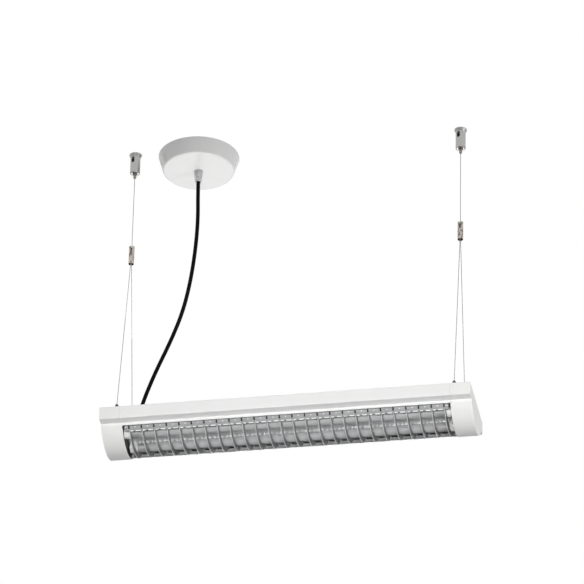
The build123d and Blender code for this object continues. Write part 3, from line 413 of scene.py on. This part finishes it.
# A finish for each material slot of the record, and finer ones for single nodes
finishes = {
    "white_profile": profileFinish(profileLook),
    "white_steel": coatedFinish("whiteTrayPaint", (0.80, 0.80, 0.80), 0.45, 1200.0, 3e-6),
    "white_plastic": coatedFinish("whiteMoulding", (0.86, 0.86, 0.85), 0.42, 2600.0, 3e-6),
    "ballast_case": coatedFinish("ballastMoulding", (0.70, 0.70, 0.68), 0.55, 2000.0, 6e-6),
    "terminal_plastic": coatedFinish("terminalMoulding", (0.62, 0.58, 0.48), 0.50, 2000.0, 6e-6),
    "bright_aluminium": metalFinish("brightSheet", (0.95, 0.955, 0.96), 0.48, along, metallic=0.1),
    "dark_plastic": coatedFinish("darkMoulding", (0.016, 0.016, 0.016), 0.55, 2200.0, 8e-6, 0.7),
    "tube_glass": tubeFinish(tubeLook),
    "tube_metal": metalFinish("tubeCapMetal", (0.44, 0.44, 0.45), 0.58, turned, metallic=0.5),
    "pin_brass": metalFinish("pinBrass", (0.62, 0.48, 0.24), 0.25, along),
    "steel_wire": metalFinish("steelStrand", (0.33, 0.33, 0.335), 0.60, tumbled, 1.0, 1e-6, 0.95, 0.2),
    "nickel": metalFinish("satinNickel", (0.42, 0.42, 0.415), 0.42, turned),
    "plunger_brass": metalFinish("warmPlunger", (0.34, 0.30, 0.26), 0.30, turned),
    "zinc_steel": metalFinish("zincPlate", (0.55, 0.56, 0.58), 0.36, tumbled),
    "clear_plastic": gripFinish(gripLook),
    "black_sheath": sheathFinish(sheathLook),
}
holderWhite = coatedFinish("holderMoulding", (0.92, 0.92, 0.91), 0.38, 2600.0, 3e-6)
nodeFinishes = {
    "louvre_blades": bladeFinish(bladeLook),
    # painted shade: the front rail's sheet much darker than the rear rail's, though both are the same
    # aluminium
    "louvre_rail_front": metalFinish("frontRailShadedSheet", (0.52, 0.525, 0.53), 0.40, along, metallic=0.6),
    "louvre_rail_rear": metalFinish("rearRailSheet", (0.88, 0.885, 0.89), 0.40, along, metallic=0.2),
    "canopy_cover": coatedFinish("canopyGloss", (0.86, 0.86, 0.855), 0.20, 1500.0, 2e-6),
    "end_baffles": coatedFinish("baffleMoulding", (0.09, 0.09, 0.09), 0.50, 2200.0, 6e-6, 0.8),
}
for side in sides:
    nodeFinishes["yoke_barrel_" + side] = barrelFinish(side, barrelLook)
    nodeFinishes["coupler_body_" + side] = couplerFinish(side, couplerLook)
    for row in rows:
        nodeFinishes[f"lampholder_{row}_{side}"] = holderWhite


def dressNodes():
    for name, obj in cadNodes.items():
        obj.data.materials.clear()
        obj.data.materials.append(nodeFinishes.get(name, finishes[slotOf[name]]))


dressNodes()
print("finishes on the CAD nodes")


# Geometry Nodes: helpers to build a tree and to turn its result into a plain mesh
def newTree(name, sizes):
    tree = bpy.data.node_groups.new(name, "GeometryNodeTree")
    tree.interface.new_socket("Geometry", in_out="INPUT", socket_type="NodeSocketGeometry")
    for label, kind in sizes.items():
        tree.interface.new_socket(label, in_out="INPUT", socket_type="NodeSocket" + kind)
    tree.interface.new_socket("Finish", in_out="INPUT", socket_type="NodeSocketMaterial")
    tree.interface.new_socket("Geometry", in_out="OUTPUT", socket_type="NodeSocketGeometry")
    return tree, tree.nodes.new("NodeGroupInput").outputs


def closeTree(tree, sizes, geometry):
    smooth = addNode(tree, "GeometryNodeSetShadeSmooth", {"Geometry": geometry})
    real = addNode(tree, "GeometryNodeRealizeInstances", {"Geometry": smooth.outputs["Geometry"]})
    links = {"Geometry": real.outputs["Geometry"], "Material": sizes["Finish"]}
    dressed = addNode(tree, "GeometryNodeSetMaterial", links)
    addNode(tree, "NodeGroupOutput", {"Geometry": dressed.outputs["Geometry"]})


def evenLine(tree, sizes):
    # the line that comes in, with points a step apart
    line = addNode(tree, "GeometryNodeMeshToCurve", {"Mesh": sizes["Geometry"]})
    links = {"Curve": line.outputs["Curve"], "Length": sizes["Step"]}
    return addNode(tree, "GeometryNodeResampleCurve", links, mode="LENGTH").outputs["Curve"]


def circleOf(tree, points, radius):
    links = {"Resolution": points, "Radius": radius}
    return addNode(tree, "GeometryNodeCurvePrimitiveCircle", links).outputs["Curve"]


def barAlong(tree, line, section):
    links = {"Curve": line, "Profile Curve": section, "Fill Caps": True}
    return addNode(tree, "GeometryNodeCurveToMesh", links).outputs["Mesh"]


def copiesAlong(tree, sizes, shape, start=origin):
    # copies of a shape in a row along X
    offset = addNode(tree, "ShaderNodeCombineXYZ", {"X": sizes["Pitch"]})
    links = {"Count": sizes["Count"], "Start Location": start, "Offset": offset.outputs["Vector"]}
    places = addNode(tree, "GeometryNodeMeshLine", links, mode="OFFSET")
    links = {"Points": places.outputs["Mesh"], "Instance": shape}
    return addNode(tree, "GeometryNodeInstanceOnPoints", links).outputs["Instances"]


def turnOutwards(mesh):
    shell = bmesh.new()
    shell.from_mesh(mesh)
    if shell.calc_volume(signed=True) < 0:
        bmesh.ops.reverse_faces(shell, faces=shell.faces[:])
    shell.to_mesh(mesh)
    shell.free()


def growPiece(name, seed, tree, values):
    obj = bpy.data.objects.new(name, seed)
    bpy.context.collection.objects.link(obj)
    modifier = obj.modifiers.new("grow", "NODES")
    modifier.node_group = tree
    for item in tree.interface.items_tree:
        if item.in_out == "INPUT" and item.name in values:
            modifier[item.identifier] = values[item.name]
    graph = bpy.context.evaluated_depsgraph_get()
    grown = bpy.data.meshes.new_from_object(obj.evaluated_get(graph), depsgraph=graph)
    obj.modifiers.clear()
    obj.data = grown
    grown.name = name
    turnOutwards(grown)
    return obj


def addTrim(name, seed, tree, values, slot, body, finish=None):
    # a piece in the finish of a slot, or in its own, that rides on a body
    piece = growPiece(name, seed, tree, {**values, "Finish": finish or finishes[slot]})
    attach(piece, body)


def meshFrom(name, points, edges=(), faces=()):
    mesh = bpy.data.meshes.new(name)
    mesh.from_pydata(points, edges, faces)
    mesh.update()
    return mesh


def lineMesh(name, points):
    return meshFrom(name, points, [(i, i + 1) for i in range(len(points) - 1)])


def seedPoint(name):
    return meshFrom(name, [origin])


routeDetail = 16  # points between two control points of a route


def routePoints(name, controls):
    # the points along the smooth line that has these control points
    curve = bpy.data.curves.new(name, "CURVE")
    curve.dimensions = "3D"
    curve.resolution_u = routeDetail
    spline = curve.splines.new("NURBS")
    spline.points.add(len(controls) - 1)
    for point, place in zip(spline.points, controls):
        point.co = (*place, 1.0)
    spline.order_u = 3
    spline.use_endpoint_u = True
    obj = bpy.data.objects.new(name, curve)
    bpy.context.collection.objects.link(obj)
    graph = bpy.context.evaluated_depsgraph_get()
    line = bpy.data.meshes.new_from_object(obj.evaluated_get(graph), depsgraph=graph)
    points = [vertex.co.copy() for vertex in line.vertices]
    bpy.data.objects.remove(obj)
    bpy.data.meshes.remove(line)
    return points


def sheathTree():
    # a round bar along a line
    tree, sizes = newTree("roundSheath", {"Radius": "Float", "Step": "Float", "Sides": "Int"})
    section = circleOf(tree, sizes["Sides"], sizes["Radius"])
    closeTree(tree, sizes, barAlong(tree, evenLine(tree, sizes), section))
    return tree


# Power cord: how far along from the canopy towards the gland, and the height, as in the part's source
powerCord = {
    "diameter": 0.007,
    "step": 0.004,
    "cornerSides": 24,
    "blendFrom": -0.10,
    "blendTo": -0.50,
    "route": [
        (0.0, -0.0135),
        (0.0, -0.072),
        (-0.002, -0.132),
        (0.001, -0.196),
        (0.008, -0.262),
        (0.020, -0.326),
        (0.040, -0.388),
        (0.063, -0.448),
        (0.080, -0.500),
        (None, -0.530),  # None is over the gland
        (None, -0.555),
    ],
}


def makePowerCord(values):
    canopy = boxMiddle("canopy_terminal")
    gland = boxMiddle("cord_gland")
    span = Vector((gland.x - canopy.x, gland.y - canopy.y, 0.0))
    heading = span.normalized()
    controls = []
    for distance, height in values["route"]:
        reach = span.length if distance is None else distance
        controls.append(Vector((canopy.x, canopy.y, height)) + heading * reach)
    points = routePoints("powerCordLine", controls)
    cord = growPiece(
        "powerCord",
        lineMesh("powerCordLine", points),
        sheathTree(),
        {
            "Radius": values["diameter"] / 2,
            "Step": values["step"],
            "Sides": values["cornerSides"],
            "Finish": finishes["black_sheath"],
        },
    )
    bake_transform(cord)
    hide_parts("power_cord")


makePowerCord(powerCord)
print("power cord made")

# Suspension wires: stranded steel, taut between the couplers, the barrels and the lamp
suspensionWire = {"diameter": 0.0012, "step": 0.0012, "lay": 0.009, "strands": 6, "groove": 0.05}
pointsPerStrand = 4.0


def strandTree():
    # a wire laid up from outer strands: a lobed section that turns along the line
    names = {"Radius": "Float", "Step": "Float", "Lay": "Float", "Strands": "Int", "Groove": "Float"}
    tree, sizes = newTree("twistedWire", names)
    walked = addNode(tree, "GeometryNodeSplineParameter").outputs["Length"]
    turns = mathNode(tree, "DIVIDE", walked, sizes["Lay"])
    tilt = mathNode(tree, "MULTIPLY", turns, math.tau)
    twisted = addNode(tree, "GeometryNodeSetCurveTilt", {"Curve": evenLine(tree, sizes), "Tilt": tilt})
    ring = circleOf(tree, mathNode(tree, "MULTIPLY", sizes["Strands"], pointsPerStrand), sizes["Radius"])
    place = addNode(tree, "GeometryNodeInputPosition").outputs["Position"]
    parts = addNode(tree, "ShaderNodeSeparateXYZ", {"Vector": place})
    angle = mathNode(tree, "ARCTAN2", parts.outputs["Y"], parts.outputs["X"])
    wave = mathNode(tree, "COSINE", mathNode(tree, "MULTIPLY", angle, sizes["Strands"]))
    deep = mathNode(tree, "MULTIPLY", mathNode(tree, "SUBTRACT", wave, 1.0), sizes["Groove"])
    links = {0: place, "Scale": mathNode(tree, "ADD", deep, 1.0)}
    lobed = addNode(tree, "ShaderNodeVectorMath", links, operation="SCALE")
    links = {"Geometry": ring, "Position": lobed.outputs["Vector"]}
    section = addNode(tree, "GeometryNodeSetPosition", links)
    wire = barAlong(tree, twisted.outputs["Curve"], section.outputs["Geometry"])
    closeTree(tree, sizes, wire)
    return tree


def makeWire(name, top, bottom, node, tree, values):
    points = routePoints(name + "Line", [top, (top + bottom) / 2, bottom])
    wire = growPiece(
        name,
        lineMesh(name + "Line", points),
        tree,
        {
            "Radius": values["diameter"] / 2,
            "Step": values["step"],
            "Lay": values["lay"],
            "Strands": values["strands"],
            "Groove": values["groove"],
            "Finish": finishes["steel_wire"],
        },
    )
    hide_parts(node)
    return wire


def makeCeilingWire(side, tree, values):
    node = "ceiling_wire_" + side
    low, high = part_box(node)
    middle = boxMiddle(node)
    top = Vector((middle.x, middle.y, high[2]))
    bottom = Vector((middle.x, middle.y, low[2]))
    wire = makeWire("ceilingWire_" + side, top, bottom, node, tree, values)
    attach(wire, "ceiling")
    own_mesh(wire)


def makeYokeWire(side, row, tree, values):
    node = f"yoke_wire_{side}_{row}"
    low, high = (Vector(corner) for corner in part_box(node))
    slope = math.atan2(high.y - low.y, high.z - low.z)
    inset = Vector((0, math.cos(slope), math.sin(slope))) * values["diameter"] / 2
    low += inset
    high -= inset
    outwards = row == "rear"
    middle = boxMiddle(node)
    top = Vector((middle.x, low.y if outwards else high.y, high.z))
    bottom = Vector((middle.x, high.y if outwards else low.y, low.z))
    wire = makeWire(f"yokeWire_{side}_{row}", top, bottom, node, tree, values)
    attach(wire, "lamp")


def makeWires(values):
    tree = strandTree()
    for side in sides:
        makeCeilingWire(side, tree, values)
        for row in rows:
            makeYokeWire(side, row, tree, values)


makeWires(suspensionWire)
print("suspension wires made")

# Louvre trim: a black clip in each slot of the rails, its black painted shade for the slot, a bright
# rivet between them on the front rail, a bright hem along that rail's lower edge and a broken fold in the
# reflector between the tubes, both painted highlight in dashes whose breaks are painted blade shadows,
# and dark strips on the rim behind the rear tube as painted shade
bladeRow = {"count": 26, "halfBlade": 0.002}
louvreClip = {
    "width": 0.0027,
    "height": 0.0060,
    "stand": 0.0005,
    "depth": 0.0011,
    "round": 0.0004,
    "underHead": 0.00002,
    "shankInset": (0.0003, 0.0011),
}
louvreRivet = {"radius": 0.0012, "height": 0.0005, "sunk": 0.0001, "sides": 10, "rings": 3}
louvreHemHighlight = {"radius": 0.0012, "inset": 0.0001, "sides": 8, "runs": [(0.0022, 0.0050), (0.0116, 0.0086)]}
reflectorFoldHighlight = {
    "radius": 0.0014,
    "sides": 12,
    "y": 0.0240,
    "sheet": -0.5796,
    "proud": 0.0012,
    "runs": [(0.0030, 0.0026), (0.0085, 0.0112)],
}
rimShadeStrip = {
    "length": 0.0165,
    "height": 0.0021,
    "stand": 0.0002,
    "wallY": 0.0545,
    "middle": -0.5863,
    "corners": 5,
}


def rowTree():
    # copies of the seed in a row
    tree, sizes = newTree("louvreRow", {"Count": "Int", "Pitch": "Float"})
    closeTree(tree, sizes, copiesAlong(tree, sizes, sizes["Geometry"]))
    return tree


def dashTree():
    # short round bars in a row
    names = {
        "Count": "Int",
        "Pitch": "Float",
        "Length": "Float",
        "Radius": "Float",
        "Sides": "Int",
        "Start": "Vector",
    }
    tree, sizes = newTree("dashRow", names)
    half = mathNode(tree, "MULTIPLY", sizes["Length"], 0.5)
    ends = {}
    for end, sign in (("Start", -1.0), ("End", 1.0)):
        reach = mathNode(tree, "MULTIPLY", half, sign)
        ends[end] = addNode(tree, "ShaderNodeCombineXYZ", {"X": reach}).outputs["Vector"]
    line = addNode(tree, "GeometryNodeCurvePrimitiveLine", ends)
    bar = barAlong(tree, line.outputs["Curve"], circleOf(tree, sizes["Sides"], sizes["Radius"]))
    closeTree(tree, sizes, copiesAlong(tree, sizes, bar, sizes["Start"]))
    return tree


def shadeStripSeed(x, values):
    # a thin dark plate with round ends, just proud of the rim's inner wall, as painted shade of a shadow
    # gap
    half, tall = values["length"] / 2, values["height"] / 2
    outline = []
    for sign in (1, -1):
        for k in range(values["corners"]):
            turn = math.pi * (k / (values["corners"] - 1) - 0.5)
            px = x + sign * (half - tall + tall * math.cos(turn))
            outline.append((px, values["middle"] + sign * tall * math.sin(turn)))
    depths = (values["wallY"] - values["stand"], values["wallY"] + values["stand"])
    points = [(px, depth, pz) for depth in depths for px, pz in outline]
    count = len(outline)
    faces = [tuple(range(count)), tuple(range(2 * count - 1, count - 1, -1))]
    faces += [(k, k + count, (k + 1) % count + count, (k + 1) % count) for k in range(count)]
    return meshFrom("shadeStripSeed", points, faces=faces)


def onLouvre(row, x, side, out):
    # a point over the slot line of a rail: along the lamp, round the curve, outwards from the rail's face
    face = louvreCurve["radius"] + out
    angle = louvreCurve["slotAngle"] + side / louvreCurve["radius"]
    y = face * math.sin(angle)
    return (x, -y if row == "front" else y, louvreCurve["axisHeight"] - face * math.cos(angle))


def clipSeed(row, x, values):
    # a flat head with a rounded edge over a shank that fills the slot
    half, tall, soft = values["width"] / 2, values["height"] / 2, values["round"]
    shankHalf, shankTall = half - values["shankInset"][0], tall - values["shankInset"][1]
    rings = [
        (half - soft, tall - soft, values["stand"]),
        (half, tall, values["stand"] - soft),
        (half, tall, values["underHead"]),
        (shankHalf, shankTall, values["underHead"]),
        (shankHalf, shankTall, -values["depth"]),
    ]
    corners = ((-1, -1), (1, -1), (1, 1), (-1, 1))
    around = len(corners)
    points, faces = [], []
    for wide, high, out in rings:
        for sx, sy in corners:
            points.append(onLouvre(row, x + sx * wide, sy * high, out))
    for ring in range(len(rings) - 1):
        for k in range(around):
            a, b = ring * around + k, ring * around + (k + 1) % around
            faces.append((a, b, b + around, a + around))
    faces += [tuple(range(around))[::-1], tuple(range(len(points) - around, len(points)))]
    return meshFrom("clipSeed", points, faces=faces)


def rivetSeed(row, x, values):
    # a low dome, a little sunk into the rail
    points, faces = [onLouvre(row, x, 0.0, values["height"])], []
    around = values["sides"]
    for ring in range(1, values["rings"] + 1):
        lean = math.pi / 2 * ring / values["rings"]
        reach = values["radius"] * math.sin(lean)
        out = values["height"] * math.cos(lean) - values["sunk"]
        for k in range(around):
            turn = math.tau * k / around
            points.append(onLouvre(row, x + reach * math.cos(turn), reach * math.sin(turn), out))
    for k in range(around):
        faces.append((0, 1 + k, 1 + (k + 1) % around))
    for ring in range(values["rings"] - 1):
        for k in range(around):
            a = 1 + ring * around + k
            b = 1 + ring * around + (k + 1) % around
            faces.append((a, a + around, b + around, b))
    faces.append(tuple(range(len(points) - around, len(points)))[::-1])
    return meshFrom("rivetSeed", points, faces=faces)


def makeLouvreTrim():
    low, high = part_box("louvre_blades")
    firstX = low[0] + bladeRow["halfBlade"]
    count = bladeRow["count"]
    pitch = (high[0] - low[0] - 2 * bladeRow["halfBlade"]) / (count - 1)
    atBlades = {"Count": count, "Pitch": pitch}
    between = {"Count": count - 1, "Pitch": pitch}
    copies, dashes = rowTree(), dashTree()

    def addDashes(name, values, place, body):
        # a short and a long dash in each field between two blades, the break between them a painted blade
        # shadow
        for run, (lead, length) in zip(("short", "long"), values["runs"]):
            sizes = {
                **between,
                "Length": length,
                "Radius": values["radius"],
                "Sides": values["sides"],
                "Start": place(firstX + lead + length / 2),
            }
            addTrim(f"{name}_{run}", seedPoint("dashSeed"), dashes, sizes, "bright_aluminium", body)

    def onHem(x):
        side = (louvreCurve["hemAngle"] - louvreCurve["slotAngle"]) * louvreCurve["radius"]
        return onLouvre("front", x, side, -louvreHemHighlight["inset"])

    def onFold(x):
        return (x, reflectorFoldHighlight["y"], reflectorFoldHighlight["sheet"] - reflectorFoldHighlight["proud"])

    for row in rows:
        # painted shade: the clips are black to stand in for the shade inside the rail slots
        seed = clipSeed(row, firstX, louvreClip)
        addTrim("railShadeClips_" + row, seed, copies, atBlades, "dark_plastic", "louvre")
    seed = rivetSeed("front", firstX + pitch / 2, louvreRivet)
    addTrim("railRivets", seed, copies, between, "bright_aluminium", "louvre")
    # painted highlight: bright dashes, broken where the blades' shadows fall
    addDashes("railHemHighlight", louvreHemHighlight, onHem, "louvre")
    addDashes("reflectorFoldHighlight", reflectorFoldHighlight, onFold, "lamp")
    # painted shade: dark strips on the rear rim where a shadow gap falls
    seed = shadeStripSeed(firstX + pitch / 2, rimShadeStrip)
    addTrim("rimShadeStrips", seed, copies, between, "dark_plastic", "lamp")


makeLouvreTrim()
print("louvre trim made")

# End caps: a rolled bead along the edge of each cap's opening, whiter than the cap as a painted highlight
capBead = {
    "radius": 0.0007,
    "bend": 0.0708,
    "span": math.radians(51.0),
    "proud": 0.0001,
    "steps": 48,
    "step": 0.002,
    "sides": 10,
}


def makeCapBeads(values):
    tree = sheathTree()
    sizes = {"Radius": values["radius"], "Step": values["step"], "Sides": values["sides"]}
    for side, sign in zip(sides, (1, -1)):
        low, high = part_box("end_cap_" + side)
        mouth = high[0] if sign > 0 else low[0]
        points = []
        for k in range(values["steps"] + 1):
            angle = values["span"] * (2 * k / values["steps"] - 1)
            y = values["bend"] * math.sin(angle)
            z = louvreCurve["axisHeight"] - values["bend"] * math.cos(angle)
            points.append((mouth + sign * values["proud"], y, z))
        seed = lineMesh("capBeadLine", points)
        # painted highlight: the bead takes the whiter lampholder plastic
        addTrim("capBead_" + side, seed, tree, sizes, "white_plastic", "lamp", holderWhite)


makeCapBeads(capBead)
print("cap beads made")

# Coupler springs: a coil between the coupler's seat and the plunger
couplerSpring = {"wire": 0.0012, "turns": 4.0, "stepsPerTurn": 28, "sides": 10}


def springTree():
    names = {
        "Turns": "Float",
        "Steps": "Int",
        "Sides": "Int",
        "Coil Radius": "Float",
        "Height": "Float",
        "Wire Radius": "Float",
        "Foot": "Vector",
    }
    tree, sizes = newTree("springCoil", names)
    links = {
        "Resolution": sizes["Steps"],
        "Rotations": sizes["Turns"],
        "Start Radius": sizes["Coil Radius"],
        "End Radius": sizes["Coil Radius"],
        "Height": sizes["Height"],
    }
    coil = addNode(tree, "GeometryNodeCurveSpiral", links)
    wire = barAlong(tree, coil.outputs["Curve"], circleOf(tree, sizes["Sides"], sizes["Wire Radius"]))
    placed = addNode(tree, "GeometryNodeTransform", {"Geometry": wire, "Translation": sizes["Foot"]})
    closeTree(tree, sizes, placed.outputs["Geometry"])
    return tree


def makeSprings(values):
    tree = springTree()
    radius = values["wire"] / 2
    for side in sides:
        node = "coupler_spring_" + side
        low, high = (Vector(corner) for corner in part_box(node))
        middle = boxMiddle(node)
        spring = growPiece(
            "couplerSpring_" + side,
            seedPoint("springSeed"),
            tree,
            {
                "Turns": values["turns"],
                "Steps": values["stepsPerTurn"],
                "Sides": values["sides"],
                "Coil Radius": (high.x - low.x) / 2 - radius,
                "Height": high.z - low.z - values["wire"],
                "Wire Radius": radius,
                "Foot": (middle.x, middle.y, low.z + radius),
                "Finish": finishes["steel_wire"],
            },
        )
        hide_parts(node)
        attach(spring, "ceiling")
        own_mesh(spring)


makeSprings(couplerSpring)
print("coupler springs made")

# Stage: white surroundings for the camera, a pale floor far below, and soft lamps
stageSet = {"floorHeight": -10.5, "floorSize": 80.0, "floorColor": (0.86, 0.86, 0.86), "ambient": 0.32}
studioLamps = {
    "frontKey": {
        "place": (0.85, -2.2, -1.555),
        "aim": (0.55, 0.0, -0.73),
        "size": (2.4, 0.1),
        "power": 3.9,
        "beam": 30.0,
    },
    "rightFill": {
        "place": (2.2, -0.7, -0.9),
        "aim": (0.3, 0.0, -0.58),
        "size": (0.9, 0.9),
        "power": 12.5,
        "beam": 180.0,
    },
    "canopyLift": {
        "place": (-0.18, -0.02, -0.36),
        "aim": (-0.18, 0.02, -0.02),
        "size": (0.3, 0.3),
        "power": 0.6,
        "beam": 180.0,
    },
    "rearBounce": {
        "place": (-0.1, 0.75, -0.50),
        "aim": (-0.1, 0.751, 0.5),
        "size": (1.4, 0.7),
        "power": 2.8,
        "beam": 180.0,
    },
    "topSoft": {
        "place": (0.0, 1.6, 4.0),
        "aim": (0.0, 0.0, -0.56),
        "size": (2.4, 2.4),
        "power": 95.0,
        "beam": 180.0,
    },
}


def makeFloor(values):
    half = values["floorSize"] / 2
    z = values["floorHeight"]
    corners = [(-half, -half, z), (half, -half, z), (half, half, z), (-half, half, z)]
    floor = bpy.data.objects.new("paleFloor", meshFrom("paleFloor", corners, faces=[(0, 1, 2, 3)]))
    floor.data.materials.append(coatedFinish("paleFloor", values["floorColor"], 0.8, 40.0, 1e-4))
    bpy.context.collection.objects.link(floor)


def makeWorld(values):
    # white for what the camera sees, straight or in metal and glass, and dimmer as a light
    world = bpy.data.worlds.new("whiteRoom")
    bpy.context.scene.world = world
    world.use_nodes = True
    tree = world.node_tree
    paths = addNode(tree, "ShaderNodeLightPath").outputs
    seen = mathNode(tree, "MAXIMUM", paths["Is Camera Ray"], paths["Is Glossy Ray"])
    seen = mathNode(tree, "MAXIMUM", seen, paths["Is Transmission Ray"])
    strength = spread(tree, seen, values["ambient"], 1.0, 0.0, 1.0)
    background = tree.nodes["Background"]
    background.inputs["Color"].default_value = (1.0, 1.0, 1.0, 1.0)
    tree.links.new(strength, background.inputs["Strength"])


def addLamp(name, values):
    data = bpy.data.lights.new(name, "AREA")
    data.shape = "RECTANGLE"
    data.size, data.size_y = values["size"]
    data.energy = values["power"]
    data.spread = math.radians(values["beam"])
    lamp = bpy.data.objects.new(name, data)
    lamp.location = values["place"]
    lamp.rotation_mode = "QUATERNION"
    heading = Vector(values["aim"]) - Vector(values["place"])
    lamp.rotation_quaternion = heading.to_track_quat("-Z", "Y")
    lamp.visible_camera = False
    bpy.context.collection.objects.link(lamp)


makeFloor(stageSet)
makeWorld(stageSet)
for name, values in studioLamps.items():
    addLamp(name, values)
print("stage lit")
